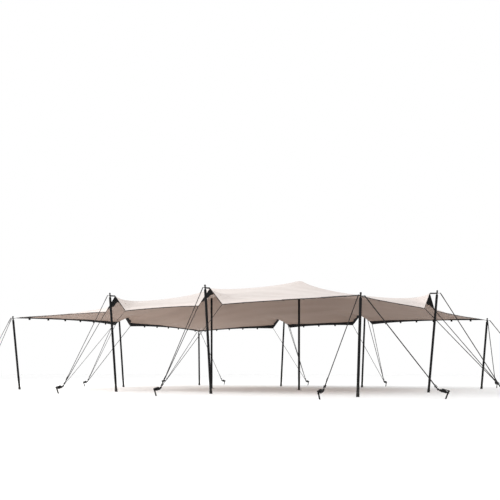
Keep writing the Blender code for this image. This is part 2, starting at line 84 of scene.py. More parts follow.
# Colours, light and dark
WHITE, NOTHING = (1.0, 1.0, 1.0), (0.0, 0.0, 0.0)
CREAM = (0.686, 0.623, 0.595), (0.643, 0.580, 0.550)
# Underside colour: painted shade, a darker and browner copy of the cloth that stands in for the shade under
# the canopy
PAINTED_UNDERSIDE_SHADE = (0.388, 0.292, 0.243), (0.350, 0.262, 0.217)
BLACKENED_STEEL = (0.012, 0.012, 0.013), (0.004, 0.004, 0.0045)
COATING_TONES = (0.003, 0.003, 0.0035), (0.005, 0.005, 0.006), (0.022, 0.021, 0.020)
RUBBER_TONES = (0.008, 0.008, 0.008), (0.022, 0.021, 0.020)
BLACK_WEB, CHARCOAL_WEB = (0.006, 0.006, 0.0065), (0.014, 0.013, 0.013)
# The second colour here is painted shade for the low parts of the cloth's streaks; the others are the
# things' own colours
STAIN, STREAK_TROUGH_SHADE, RUST = (0.93, 0.92, 0.90), (0.89, 0.882, 0.875), (0.16, 0.065, 0.025)
GROUND_DUST, WEB_DUST = (0.10, 0.09, 0.08), (0.05, 0.048, 0.044)

# Finish; scales are per metre and rises in metres
TOP_SHEEN, UNDER_SHEEN = 0.12, 0.05
PANEL_HALF = 0.71
SEAM_HALF, SEAM_RIDGE, SEAM_SHADE, SEAM_SHARE = 0.012, 0.025, 0.80, 0.45
STREAK_SCALE, SCUFF_SCALE = (0.24, 1.6, 1.0), (60.0, 60.0, 3.0)
BROAD_SCALE, BLOTCH_SCALE, RIB_SCALE, KNIT_SCALE = 0.55, 5.0, 90.0, 420.0
WEAVE_SCALE, THREAD_SCALE, DUST_SCALE = 150.0, 260.0, 4.0
COATING_SCALE, GRIT_SCALE, SOILING_SCALE = 35.0, 300.0, 0.8
SPANGLE_SCALE, WORN_SCALE, SPOT_SCALE = 130.0, 45.0, 22.0
KNIT_RISE, SEAM_RISE, STREAK_RISE = 0.0006, 0.002, 0.012
WEAVE_RISE, COATING_RISE, WORN_RISE, GRIT_RISE = 0.0008, 0.0006, 0.0005, 0.0006
CLOTH_ROUGHNESS, COATING_ROUGHNESS, STEEL_ROUGHNESS = (0.74, 0.90), (0.42, 0.62), (0.36, 0.62)
WEAVE_CONTRAST = 2.6
DUST_FADE, DUST_SHARE, RUST_SHARE = 2.4, 0.35, 0.08

# Cloth detail; folds as (rays, reach, height)
FRONT_FOLDS, BACK_FOLDS, END_FOLDS = (13, 2.0, 0.0090), (11, 1.3, 0.0080), (11, 1.5, 0.0080)
CORNER_FOLDS, PEAK_FOLDS = (22, 2.2, 0.0095), (13, 1.0, 0.0040)
FOLD_START, FOLD_TURN, FOLD_WANDER, FOLD_SHARPNESS = 0.35, 1.7, 0.6, 1.5
RIPPLE_LENGTH, RIPPLE_SIZE, RIPPLE_START, RIPPLE_WANDER = 0.80, 0.0045, 0.6, 0.18
SLACK_SIZE, SLACK_REACH = 0.004, 0.35
EDGE_CALM = 0.10
CELL = 0.064
CLOTH_THICKNESS = 0.003
RIDGE_SPREAD = 0.22
PLATEAU_REACH, PLATEAU_GATHER = 0.25, 0.5
PEAK_LIFT, PEAK_CROWN = 0.002, 0.014
FIRST_HEIGHT, MOST_STEPS, REST_SHARE = 2.8, 1500, 1e-13
BORDER_WIDTH = 0.085
DROP_PLACES = (0, 0.12, 0.30, 0.42, 0.60, 1.5, 3.0)
DROPS = (0, -0.030, -0.030, 0.030, 0.062, 0.042, 0.012)
DROP_FADE = 1.3
HEM_WIDTH = 0.075
HEM_LINES = 3
HEM_THICKNESS, HEM_ROLL = 0.003, 0.014
HEM_OUT = 0.012
SEWN_GAP = 0.0006
PATCH_REACH, PATCH_SLANT = 0.27, 0.9
FLANK_BAND, FLANK_REACH = 0.20, 0.66
PEAK_PATCH = 0.42
CORNER_PATCH = 0.34
PATCH_THICKNESS = 0.002
BINDING_WIDTH, BINDING_REACH = 0.05, 2.4
LOOP_STEP, LOOP_CLEARANCE = 0.68, 0.1
LOOP_INSET = LOOP_STEP * 0.6
LOOP_WIDTH, LOOP_REACH, LOOP_THICKNESS = 0.055, 0.014, 0.004
LOOP_DROP, FLAT_LOOP_DROP = 0.055, 0.014
LOOP_TAIL, LOOP_MOUTH, LOOP_POINTS = (0.045, 0.020), 0.15, 15
SHELL_SHARP, FITTING_SHARP = math.radians(60), math.radians(50)

# Fittings; places along a pole are measured down from its top
UPPER_WASHERS, UPPER_WASHER_RADIUS = (0.0620, 0.0770), 0.026
LOWER_WASHER, LOWER_WASHER_RADIUS = 0.1065, 0.021
WASHER_HEIGHT, WASHER_PLAY = 0.013, 0.0005
DOUBLED_WIDTH, DOUBLED_THICKNESS = STRAP_WIDTH + 0.002, 0.009
HEAD_DOUBLED, HEAD_DOUBLED_AT = 0.20, 0.12
RING_DOUBLED, RING_DOUBLED_AT = 0.17, 0.145
CORNER_DOUBLED_WIDTH, CORNER_DOUBLED_THICKNESS, CORNER_DOUBLED_ENDS = STRAP_WIDTH + 0.003, 0.010, 0.035
TAIL_AT, TAIL_STEPS, TAIL_STEP = 0.16, 8, 0.022
TAIL_LIFT, TAIL_CURL, TAIL_TURN = 0.007, 0.010, 0.5
TAIL_WIDTH, TAIL_THICKNESS = STRAP_WIDTH - 0.003, 0.003
BUCKLE_BARS, BUCKLE_HALF, BUCKLE_OUT, BUCKLE_WIRE = (0.030, 0.058, 0.086), 0.026, 0.003, 0.0045
BUCKLE_CHEEK = (0.006, 0.016, 0.066)
RING_SIDES, RIVET_SIDES, WIRE_SIDES = 20, 14, 8
RING_SOFTNESS, BLOCK_SOFTNESS, GRIP_SOFTNESS, BLOCK_END = 0.25, 0.15, 0.6, 0.86

# Ratchets; their places are in the ratchet's own frame, before its scale
DRUM_AT, DRUM_RADIUS, DRUM_PITCH = 0.060, 0.0142, 0.0028
ROLL_STEPS, ROLL_TURN = 66, math.pi / 10
ROLL_END = (0, 0.004, 0.030), (0, 0.0015, 0.022)
ROLL_WIDTH, ROLL_THICKNESS = 0.024 * TENSIONER_SCALE, 0.0026 * TENSIONER_SCALE
GRIP_SIZE, GRIP_PLACE = (0.044, 0.014, 0.036), (0, -0.0345, 0.118)
TEETH, TOOTH_SIZE, WHEEL_HALF, WHEEL_RADIUS = 14, (0.003, 0.0045, 0.0045), 0.0195, 0.0235
RIVET_HALF, RIVET_BORE, RIVET_RADIUS, RIVET_THICKNESS = 0.0245, 0.001, 0.0075, 0.003

# Poles: the place of the foot, the direction in which it leans out, and its height
Station = namedtuple("Station", "foot out height")
CORNERS = [
    Station((-HALF_LENGTH, -HALF_WIDTH), (-DIAGONAL, -DIAGONAL), CORNER_POLE_TOP),
    Station((HALF_LENGTH, -HALF_WIDTH), (DIAGONAL, -DIAGONAL), CORNER_POLE_TOP),
    Station((HALF_LENGTH, HALF_WIDTH), (DIAGONAL, DIAGONAL), CORNER_POLE_TOP),
    Station((-HALF_LENGTH, HALF_WIDTH), (-DIAGONAL, DIAGONAL), CORNER_POLE_TOP),
]
SIDES = [
    Station((FRONT_SIDE_X[0], -HALF_WIDTH), (0, -1), SIDE_POLE_TOP),
    Station((FRONT_SIDE_X[1], -HALF_WIDTH), (0, -1), SIDE_POLE_TOP),
    Station((HALF_LENGTH, RIGHT_SIDE_Y), (1, 0), SIDE_POLE_TOP),
    Station((BACK_SIDE_X[1], HALF_WIDTH), (0, 1), SIDE_POLE_TOP),
    Station((BACK_SIDE_X[0], HALF_WIDTH), (0, 1), SIDE_POLE_TOP),
    Station((-HALF_LENGTH, LEFT_SIDE_Y), (-1, 0), SIDE_POLE_TOP),
]


# Camera at the photograph's angle

def add_camera():
    data = bpy.data.cameras.new("camera")
    data.sensor_width = SENSOR_WIDTH
    data.lens = FOCAL_LENGTH
    data.shift_y = SHIFT_UP
    data.clip_start, data.clip_end = NEAR_CLIP, FAR_CLIP
    camera = bpy.data.objects.new("camera", data)
    camera.location = CAMERA_PLACE
    camera.rotation_euler = (math.radians(90), 0, CAMERA_TURN)
    bpy.context.scene.collection.objects.link(camera)
    bpy.context.scene.camera = camera


# Materials

def new_material(name):
    material = bpy.data.materials.new(name)
    material.use_nodes = True
    tree = material.node_tree
    shader = tree.nodes["Principled BSDF"]
    return material, tree, shader


def node(tree, kind, **values):
    made = tree.nodes.new(kind)
    for key, value in values.items():
        if key in made.inputs:
            made.inputs[key].default_value = value
        else:
            setattr(made, key, value)
    return made


def noise(tree, vector, scale, detail, roughness=0.5):
    made = node(tree, "ShaderNodeTexNoise", Scale=scale, Detail=detail, Roughness=roughness)
    tree.links.new(vector, made.inputs["Vector"])
    return made.outputs["Fac"]


def ramp(tree, factor, places, colours):
    """Colours blended between their places along a factor."""
    made = tree.nodes.new("ShaderNodeValToRGB")
    elements = made.color_ramp.elements
    while len(elements) < len(places):
        elements.new(0.5)
    for element, place, colour in zip(elements, places, colours):
        element.position = place
        element.color = (*colour, 1)
    tree.links.new(factor, made.inputs["Fac"])
    return made.outputs["Color"]


def mixed(tree, first, second, factor, blend="MIX"):
    made = node(tree, "ShaderNodeMix", data_type="RGBA", blend_type=blend)
    for socket, value in ((made.inputs[6], first), (made.inputs[7], second), (made.inputs[0], factor)):
        if isinstance(value, bpy.types.NodeSocket):
            tree.links.new(value, socket)
        elif isinstance(value, tuple):
            socket.default_value = (*value, 1)
        else:
            socket.default_value = value
    return made.outputs[2]


def maths(tree, operation, first, second, clamp=False):
    made = node(tree, "ShaderNodeMath", operation=operation, use_clamp=clamp)
    for socket, value in zip(made.inputs, (first, second)):
        if isinstance(value, bpy.types.NodeSocket):
            tree.links.new(value, socket)
        else:
            socket.default_value = value
    return made.outputs[0]


def map_range(tree, value, before, after):
    """A value carried from one span to another and held at its ends."""
    made = tree.nodes.new("ShaderNodeMapRange")
    tree.links.new(value, made.inputs["Value"])
    made.inputs["From Min"].default_value, made.inputs["From Max"].default_value = before
    made.inputs["To Min"].default_value, made.inputs["To Max"].default_value = after
    return made.outputs["Result"]


def drawn_out(tree, vector, scale):
    made = tree.nodes.new("ShaderNodeMapping")
    made.inputs["Scale"].default_value = scale
    tree.links.new(vector, made.inputs["Vector"])
    return made.outputs["Vector"]


def greys(values):
    return [(value, value, value) for value in values]


def bump(tree, shader, height, distance, strength):
    made = node(tree, "ShaderNodeBump", Strength=strength, Distance=distance)
    tree.links.new(height, made.inputs["Height"])
    tree.links.new(made.outputs["Normal"], shader.inputs["Normal"])


def object_place(tree):
    return tree.nodes.new("ShaderNodeTexCoord").outputs["Object"]


def uv_place(tree):
    return tree.nodes.new("ShaderNodeTexCoord").outputs["UV"]


def separate(tree, vector):
    made = tree.nodes.new("ShaderNodeSeparateXYZ")
    tree.links.new(vector, made.inputs[0])
    return made.outputs


def cloth_material(name, light, dark, sheen):
    """Knitted stretch cloth with welded panel seams; the UV map holds metres on the flat cut."""
    material, tree, shader = new_material(name)
    flat = uv_place(tree)
    broad = noise(tree, flat, BROAD_SCALE, 4.0, 0.55)
    blotch = noise(tree, flat, BLOTCH_SCALE, 4.0, 0.6)
    tone = ramp(tree, broad, (0.25, 0.75), (dark, light))
    stain = ramp(tree, blotch, (0.30, 0.70), (STAIN, WHITE))
    colour = mixed(tree, tone, stain, 0.6, "MULTIPLY")
    # Long shallow streaks where the cloth is pulled lengthwise: a bump, and painted shade that darkens their
    # low parts
    streak = noise(tree, drawn_out(tree, flat, STREAK_SCALE), 1.0, 3.0, 0.45)
    streak_shade = ramp(tree, streak, (0.36, 0.60), (STREAK_TROUGH_SHADE, WHITE))
    colour = mixed(tree, colour, streak_shade, 0.6, "MULTIPLY")
    # Seven panels run lengthwise, joined by flat seams
    panel = maths(tree, "PINGPONG", maths(tree, "ADD", separate(tree, flat)[1], PANEL_HALF), PANEL_HALF)
    near_seam = maths(tree, "LESS_THAN", panel, SEAM_HALF)
    ridge = maths(tree, "SUBTRACT", 1.0, maths(tree, "MULTIPLY", panel, 1 / SEAM_RIDGE), clamp=True)
    seam_tone = tuple(c * SEAM_SHADE for c in dark)
    colour = mixed(tree, colour, seam_tone, maths(tree, "MULTIPLY", near_seam, SEAM_SHARE))
    tree.links.new(colour, shader.inputs["Base Color"])
    ribs = node(tree, "ShaderNodeTexWave", Scale=RIB_SCALE, Distortion=1.2, Detail=1.0)
    ribs.bands_direction = "X"
    tree.links.new(flat, ribs.inputs["Vector"])
    knit = noise(tree, flat, KNIT_SCALE, 2.0, 0.6)
    height = maths(tree, "MULTIPLY", maths(tree, "ADD", ribs.outputs["Fac"], knit), KNIT_RISE)
    height = maths(tree, "ADD", height, maths(tree, "MULTIPLY", ridge, SEAM_RISE))
    height = maths(tree, "ADD", height, maths(tree, "MULTIPLY", streak, STREAK_RISE))
    bump(tree, shader, height, distance=1.0, strength=0.6)
    rough = ramp(tree, blotch, (0.2, 0.8), greys(CLOTH_ROUGHNESS))
    tree.links.new(rough, shader.inputs["Roughness"])
    shader.inputs["Sheen Weight"].default_value = sheen
    shader.inputs["Sheen Roughness"].default_value = 0.5
    shader.inputs["Specular IOR Level"].default_value = 0.25
    return material


def webbing_material(name, tone):
    """Dark woven webbing with fine cross ribs and a little dust."""
    material, tree, shader = new_material(name)
    place = object_place(tree)
    ribs = node(tree, "ShaderNodeTexWave", Scale=WEAVE_SCALE, Distortion=0.6, Detail=1.0)
    ribs.bands_direction = "DIAGONAL"
    tree.links.new(place, ribs.inputs["Vector"])
    thread = noise(tree, place, THREAD_SCALE, 2.0)
    dust = noise(tree, place, DUST_SCALE, 5.0, 0.65)
    light = tuple(c * WEAVE_CONTRAST for c in tone)
    weave = ramp(tree, maths(tree, "MULTIPLY", ribs.outputs["Fac"], thread), (0.1, 0.9), (tone, light))
    dusty = ramp(tree, dust, (0.50, 0.90), (NOTHING, WEB_DUST))
    colour = mixed(tree, weave, dusty, 0.5, "ADD")
    tree.links.new(colour, shader.inputs["Base Color"])
    bump(tree, shader, maths(tree, "ADD", ribs.outputs["Fac"], thread), WEAVE_RISE, strength=0.7)
    shader.inputs["Roughness"].default_value = 0.85
    shader.inputs["Sheen Weight"].default_value = 0.03
    shader.inputs["Specular IOR Level"].default_value = 0.15
    return material


def pole_material(name):
    """Satin black coating with fine scuffs along the tube and pale dust near the ground."""
    material, tree, shader = new_material(name)
    place = object_place(tree)
    scuff = noise(tree, drawn_out(tree, place, SCUFF_SCALE), 1.0, 5.0, 0.6)
    fine = noise(tree, place, COATING_SCALE, 4.0, 0.6)
    height = separate(tree, place)[2]
    low = maths(tree, "SUBTRACT", 1.0, maths(tree, "MULTIPLY", height, DUST_FADE), clamp=True)
    dust = maths(tree, "MULTIPLY", low, fine, clamp=True)
    tone = ramp(tree, scuff, (0.45, 0.66, 0.80), COATING_TONES)
    colour = mixed(tree, tone, GROUND_DUST, maths(tree, "MULTIPLY", dust, DUST_SHARE))
    tree.links.new(colour, shader.inputs["Base Color"])
    rough = ramp(tree, scuff, (0.3, 0.7), greys(COATING_ROUGHNESS))
    tree.links.new(rough, shader.inputs["Roughness"])
    bump(tree, shader, fine, COATING_RISE, strength=0.25)
    shader.inputs["Specular IOR Level"].default_value = 0.12
    return material


def steel_material(name, light, dark):
    """Blackened steel gone dull, with a little rust in spots."""
    material, tree, shader = new_material(name)
    place = object_place(tree)
    spangle = node(tree, "ShaderNodeTexVoronoi", Scale=SPANGLE_SCALE)
    tree.links.new(place, spangle.inputs["Vector"])
    worn = noise(tree, place, WORN_SCALE, 5.0, 0.65)
    tone = ramp(tree, maths(tree, "MULTIPLY", spangle.outputs["Distance"], worn), (0.1, 0.5), (dark, light))
    spots = ramp(tree, noise(tree, place, SPOT_SCALE, 6.0, 0.7), (0.58, 0.72), (NOTHING, WHITE))
    colour = mixed(tree, tone, RUST, maths(tree, "MULTIPLY", separate(tree, spots)[0], RUST_SHARE))
    tree.links.new(colour, shader.inputs["Base Color"])
    rough = ramp(tree, worn, (0.3, 0.7), greys(STEEL_ROUGHNESS))
    tree.links.new(rough, shader.inputs["Roughness"])
    bump(tree, shader, worn, WORN_RISE, strength=0.4)
    shader.inputs["Metallic"].default_value = 0.5
    shader.inputs["Specular IOR Level"].default_value = 0.2
    return material


def rubber_material(name):
    """Matt black rubber with fine grit."""
    material, tree, shader = new_material(name)
    place = object_place(tree)
    grit = noise(tree, place, GRIT_SCALE, 3.0)
    tone = ramp(tree, grit, (0.3, 0.8), RUBBER_TONES)
    tree.links.new(tone, shader.inputs["Base Color"])
    bump(tree, shader, grit, GRIT_RISE, strength=0.6)
    shader.inputs["Roughness"].default_value = 0.75
    shader.inputs["Specular IOR Level"].default_value = 0.3
    return material


def give(item, material):
    item.data.materials.clear()
    item.data.materials.append(material)


# Geometry shared with the part's source

def foot_point(station):
    return Vector((*station.foot, 0))


def outward(station):
    return Vector((*station.out, 0))


def pole_axis(station):
    return (outward(station) * math.tan(POLE_LEAN) + Vector((0, 0, 1))).normalized()


def pole_top(station):
    lean = outward(station) * station.height * math.tan(POLE_LEAN)
    return foot_point(station) + lean + Vector((0, 0, station.height))


def corner_hold(station):
    point = pole_top(station) - outward(station) * CORNER_STRAP
    point.z = CLOTH_CORNER_HEIGHT
    return point


def tip_hold(station):
    point = pole_top(station) - outward(station) * TIP_STRAP
    point.z = PICKUP_TIP_HEIGHT
    return point


def along_side(station):
    return Vector((abs(station.out[1]), abs(station.out[0]), 0))


def pickup_feet(station):
    middle = foot_point(station) + outward(station) * PICKUP_FEET_OUT + Vector((0, 0, PICKUP_FOOT_HEIGHT))
    reach = along_side(station) * PICKUP_HALF_WIDTH
    return middle - reach, middle + reach


# Half the cloth's flat cut, and the line of its peaks
FLAT_X = abs(corner_hold(CORNERS[0]).x)
FLAT_Y = abs(corner_hold(CORNERS[0]).y)
MIDDLE_Y = (LEFT_SIDE_Y + RIGHT_SIDE_Y) / 2


def fine_lines(half_span, pickups):
    """Grid lines on the flat cut: the hem's lines, then even ones with each pickup's middle and feet."""
    hem = np.linspace(0, HEM_WIDTH, HEM_LINES + 1)
    stops = [-half_span + HEM_WIDTH]
    for middle in pickups:
        stops += [middle - PICKUP_HALF_WIDTH, middle, middle + PICKUP_HALF_WIDTH]
    stops.append(half_span - HEM_WIDTH)
    lines = list(hem - half_span)
    for start, end in zip(stops, stops[1:]):
        count = max(1, round((end - start) / CELL))
        lines += list(np.linspace(start, end, count + 1)[1:])
    return np.array(lines + list(half_span - hem[-2::-1]))


def midpoints(lines):
    return (lines[1:] + lines[:-1]) / 2


def inside_edges(xs, ys):
    """Distance of each grid cell's middle from the nearer end and the nearer side of the flat cut."""
    return FLAT_X - np.abs(midpoints(xs))[:, None], FLAT_Y - np.abs(midpoints(ys))[None, :]


def smooth_step(value):
    value = np.clip(value, 0, 1)
    return value * value * (3 - 2 * value)


def hold_points(xs, ys):
    """Which grid points are held, and where."""
    held = {}

    def hold(x, y, point):
        held[int(np.abs(xs - x).argmin()), int(np.abs(ys - y).argmin())] = point

    for station in CORNERS:
        out_x, out_y = station.out
        hold(math.copysign(FLAT_X, out_x), math.copysign(FLAT_Y, out_y), corner_hold(station))
    for station in SIDES:
        out_x, out_y = station.out
        low, high = pickup_feet(station)
        for step, point in ((-PICKUP_HALF_WIDTH, low), (0, tip_hold(station)), (PICKUP_HALF_WIDTH, high)):
            if out_x == 0:
                middle = KING_X[0] if station.foot[0] < 0 else KING_X[1]
                hold(middle + step, math.copysign(FLAT_Y, out_y), point)
            else:
                hold(math.copysign(FLAT_X, out_x), MIDDLE_Y + step, point)
    # Over each king pole's plate the cloth is gathered and slightly crowned
    for king_x in KING_X:
        for c in np.flatnonzero(np.abs(xs - king_x) <= PLATEAU_REACH):
            for r in np.flatnonzero(np.abs(ys - MIDDLE_Y) <= PLATEAU_REACH):
                across = Vector((xs[c] - king_x, ys[r] - MIDDLE_Y, 0))
                share = across.length / PLATEAU_REACH
                if share <= 1:
                    crown = PEAK_HEIGHT + PEAK_LIFT + PEAK_CROWN * (1 - share ** 2)
                    held[int(c), int(r)] = Vector((king_x, 0, crown)) + across * PLATEAU_GATHER
    return held


def spread_weight(places, middle):
    weight = np.clip(1 - np.abs(places - middle) / RIDGE_SPREAD, 0, None)
    return weight / weight.sum()


def thread_densities(xs, ys):
    """Force density of each thread along x and along y, as the part's source sets them."""
    width_x, width_y = np.gradient(xs), np.gradient(ys)
    mid_x, mid_y = midpoints(xs), midpoints(ys)

    def cloth_pull(x, y):
        distance = np.minimum(np.hypot(x - KING_X[0], y - MIDDLE_Y), np.hypot(x - KING_X[1], y - MIDDLE_Y))
        return 1 + KING_PULL / (distance + KING_PULL_REACH)

    def border_pull(places, middles):
        in_pickup = np.any([np.abs(places - middle) < PICKUP_HALF_WIDTH for middle in middles], axis=0)
        return np.where(in_pickup, PICKUP_EDGE_PULL, EDGE_PULL)

    along_x = cloth_pull(mid_x[:, None], ys[None, :]) * width_y[None, :]
    between = (mid_x > KING_X[0]) & (mid_x < KING_X[1])
    along_x += np.where(between, RIDGE_PULL, SPOKE_PULL)[:, None] * spread_weight(ys, MIDDLE_Y)[None, :]
    along_x[:, [0, -1]] += border_pull(mid_x, KING_X)[:, None]
    along_y = cloth_pull(xs[:, None], mid_y[None, :]) * width_x[:, None]
    for king_x in KING_X:
        along_y += SPOKE_PULL * spread_weight(xs, king_x)[:, None]
    along_y[[0, -1], :] += border_pull(mid_y, [MIDDLE_Y])[None, :]
    return along_x / np.diff(xs)[:, None], along_y / np.diff(ys)[None, :]


def stretched(xs, ys):
    """Equilibrium of the fine grid under the densities, by conjugate gradients."""
    dense_x, dense_y = thread_densities(xs, ys)
    held = hold_points(xs, ys)
    free = np.ones((len(xs), len(ys)), bool)
    # A smooth first guess: the flat cut at the border's height
    level = np.full((len(xs), len(ys)), FIRST_HEIGHT)
    points = np.stack([*np.meshgrid(xs, ys, indexing="ij"), level], axis=2)
    for place, point in held.items():
        free[place] = False
        points[place] = tuple(point)

    def pulled(field):
        out = np.zeros_like(field)
        step = dense_x[:, :, None] * (field[1:] - field[:-1])
        out[:-1] -= step
        out[1:] += step
        step = dense_y[:, :, None] * (field[:, 1:] - field[:, :-1])
        out[:, :-1] -= step
        out[:, 1:] += step
        return out

    diagonal = np.zeros(free.shape)
    diagonal[:-1] += dense_x
    diagonal[1:] += dense_x
    diagonal[:, :-1] += dense_y
    diagonal[:, 1:] += dense_y
    mask = free[:, :, None].astype(float)
    residual = -pulled(points) * mask
    scaled = residual / diagonal[:, :, None]
    direction = scaled.copy()
    energy = (residual * scaled).sum(axis=(0, 1))
    start = energy.copy()
    for _ in range(MOST_STEPS):
        pushed = pulled(direction) * mask
        step = energy / np.maximum((direction * pushed).sum(axis=(0, 1)), 1e-30)
        points += direction * step
        residual -= pushed * step
        scaled = residual / diagonal[:, :, None]
        fresh = (residual * scaled).sum(axis=(0, 1))
        if np.all(fresh < start * REST_SHARE):
            break
        direction = scaled + direction * (fresh / energy)
        energy = fresh
    return points


def grid_normals(points):
    across = np.gradient(points, axis=0)
    along = np.gradient(points, axis=1)
    normal = np.cross(across, along)
    return normal / np.linalg.norm(normal, axis=2, keepdims=True)


def folds(xs, ys):
    """Height of the stretch folds that fan out from the pickups, the corners and the peaks."""
    grid_x, grid_y = np.meshgrid(xs, ys, indexing="ij")
    height = np.zeros_like(grid_x)
    sources = []
    for middle in KING_X:
        sources += [(middle, -FLAT_Y, *FRONT_FOLDS), (middle, FLAT_Y, *BACK_FOLDS)]
    sources += [(-FLAT_X, MIDDLE_Y, *END_FOLDS), (FLAT_X, MIDDLE_Y, *END_FOLDS)]
    for sign_x in (-1, 1):
        for sign_y in (-1, 1):
            sources.append((sign_x * FLAT_X, sign_y * FLAT_Y, *CORNER_FOLDS))
    for middle in KING_X:
        sources.append((middle, MIDDLE_Y, *PEAK_FOLDS))
    for number, (x, y, count, reach, size) in enumerate(sources):
        away_x, away_y = grid_x - x, grid_y - y
        distance = np.hypot(away_x, away_y)
        angle = np.arctan2(away_y, away_x)
        ripple = np.cos(count * angle + FOLD_TURN * number + FOLD_WANDER * np.sin(3 * angle + number))
        ripple = np.abs(ripple) ** FOLD_SHARPNESS * np.sign(ripple)
        fade = smooth_step(distance / FOLD_START) * np.exp(-((distance / reach) ** 2))
        height += size * ripple * fade
    # Long ripples where the cloth is pulled lengthwise, none on the peaks
    from_peak = np.min([np.hypot(grid_x - middle, grid_y - MIDDLE_Y) for middle in KING_X], axis=0)
    turns = grid_y / RIPPLE_LENGTH + RIPPLE_WANDER * np.sin(0.6 * grid_x + 1.0)
    swell = 0.5 + 0.5 * np.sin(0.8 * grid_x + 0.5 * grid_y)
    height += RIPPLE_SIZE * np.sin(2 * math.pi * turns) * swell * smooth_step(from_peak / RIPPLE_START)
    # Slow slack waves along the border, between its loops
    to_end, to_side = FLAT_X - np.abs(grid_x), FLAT_Y - np.abs(grid_y)
    edge = np.minimum(to_end, to_side)
    along = np.where(to_end < to_side, grid_y, grid_x)
    slack = np.sin(along * 2 * math.pi / (LOOP_STEP * 2)) * np.exp(-((edge / SLACK_REACH) ** 2))
    height += SLACK_SIZE * slack
    return height * smooth_step(edge / EDGE_CALM)


def border_rise(xs, ys):
    """How far the cloth just inside its edge stands above the border that hangs from it."""

    def share(lines, half_span, middles):
        inside = half_span - np.abs(lines)
        off_pickup = np.min([np.abs(lines - middle) for middle in middles], axis=0)
        fade = 1 - smooth_step((inside - BORDER_WIDTH) / DROP_FADE)
        return inside, np.interp(off_pickup, DROP_PLACES, DROPS), fade

    inside_x, drop_x, fade_x = share(xs, FLAT_X, KING_X)
    inside_y, drop_y, fade_y = share(ys, FLAT_Y, [MIDDLE_Y])
    rise = drop_x[:, None] * fade_y[None, :] + drop_y[None, :] * fade_x[:, None]
    return rise * smooth_step(np.minimum(inside_x[:, None], inside_y[None, :]) / BORDER_WIDTH)


def cloth_surface():
    """The flat places of the cloth's grid, its underside's fine points and its upward normals."""
    xs = fine_lines(FLAT_X, KING_X)
    ys = fine_lines(FLAT_Y, [MIDDLE_Y])
    points = stretched(xs, ys)
    points[:, :, 2] += border_rise(xs, ys)
    points += grid_normals(points) * folds(xs, ys)[:, :, None]
    return xs, ys, points, grid_normals(points)


def link(name, mesh, *materials):
    for material in materials:
        mesh.materials.append(material)
    item = bpy.data.objects.new(name, mesh)
    bpy.context.scene.collection.objects.link(item)
    return item


def cell_shell(name, xs, ys, cells, lower, upper, *materials):
    """A closed shell on the chosen cells of the grid; its last material goes on its underside.

    Its UV map holds metres on the flat cut.
    """
    columns, rows = lower.shape[:2]
    count = columns * rows
    index = np.arange(count).reshape(columns, rows)
    c, r = np.nonzero(cells)
    corners = [index[c, r], index[c + 1, r], index[c + 1, r + 1], index[c, r + 1]]
    top = np.stack(corners, axis=1)
    bottom = np.stack(corners[::-1], axis=1) + count
    padded = np.pad(cells, 1)
    faces = [top, bottom]
    for k, (step_c, step_r) in enumerate(((0, -1), (1, 0), (0, 1), (-1, 0))):
        bare = ~padded[c + 1 + step_c, r + 1 + step_r]
        start, end = corners[k][bare], corners[(k + 1) % 4][bare]
        faces.append(np.stack([end, start, start + count, end + count], axis=1))
    faces = np.concatenate(faces)
    used, faces = np.unique(faces, return_inverse=True)
    faces = faces.reshape(-1, 4)
    verts = np.concatenate([upper.reshape(-1, 3), lower.reshape(-1, 3)])[used]
    flat = np.stack(np.meshgrid(xs, ys, indexing="ij"), axis=2).reshape(-1, 2)
    flat = np.concatenate([flat, flat])[used]
    mesh = bpy.data.meshes.new(name)
    mesh.vertices.add(len(verts))
    mesh.vertices.foreach_set("co", verts.astype(np.float32).ravel())
    mesh.loops.add(faces.size)
    mesh.loops.foreach_set("vertex_index", faces.astype(np.int32).ravel())
    mesh.polygons.add(len(faces))
    mesh.polygons.foreach_set("loop_start", np.arange(0, faces.size, 4, dtype=np.int32))
    slots = np.zeros(len(faces), np.int32)
    slots[len(top):2 * len(top)] = len(materials) - 1
    mesh.polygons.foreach_set("material_index", slots)
    mesh.update(calc_edges=True)
    layer = mesh.uv_layers.new(name="flat_cut")
    layer.data.foreach_set("uv", flat[faces.ravel()].astype(np.float32).ravel())
    mesh.shade_smooth()
    mesh.set_sharp_from_angle(angle=SHELL_SHARP)
    return link(name, mesh, *materials)


def add_canopy(xs, ys, points, normals):
    cells = np.ones((len(xs) - 1, len(ys) - 1), bool)
    upper = points + normals * CLOTH_THICKNESS
    item = cell_shell("canopy_cloth", xs, ys, cells, points, upper, CLOTH_TOP, CLOTH_UNDER)
    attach(item, "root")
    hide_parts("canopy")
    return item


def pushed_out(points):
    """The same points with the outermost line moved a little off the cloth."""
    moved = points.copy()
    every = slice(None)
    sides = (
        ((0, every), (2, every)), ((-1, every), (-3, every)),
        ((every, 0), (every, 2)), ((every, -1), (every, -3)),
    )
    for edge, inner in sides:
        away = points[edge] - points[inner]
        moved[edge] += HEM_OUT * away / np.linalg.norm(away, axis=1, keepdims=True)
    return moved


def add_hem(xs, ys, points, normals):
    """The black webbing sewn under the cloth's whole edge, rolled thick along its outer line."""
    cells = np.minimum(*inside_edges(xs, ys)) < HEM_WIDTH
    upper = pushed_out(points - normals * SEWN_GAP)
    thickness = np.full(points.shape[:2] + (1,), HEM_THICKNESS)
    thickness[[0, -1]] = HEM_ROLL
    thickness[:, [0, -1]] = HEM_ROLL
    item = cell_shell("hem_webbing", xs, ys, cells, upper - normals * thickness, upper, WEBBING)
    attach(item, "root")
    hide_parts("border_webbing")
    return item


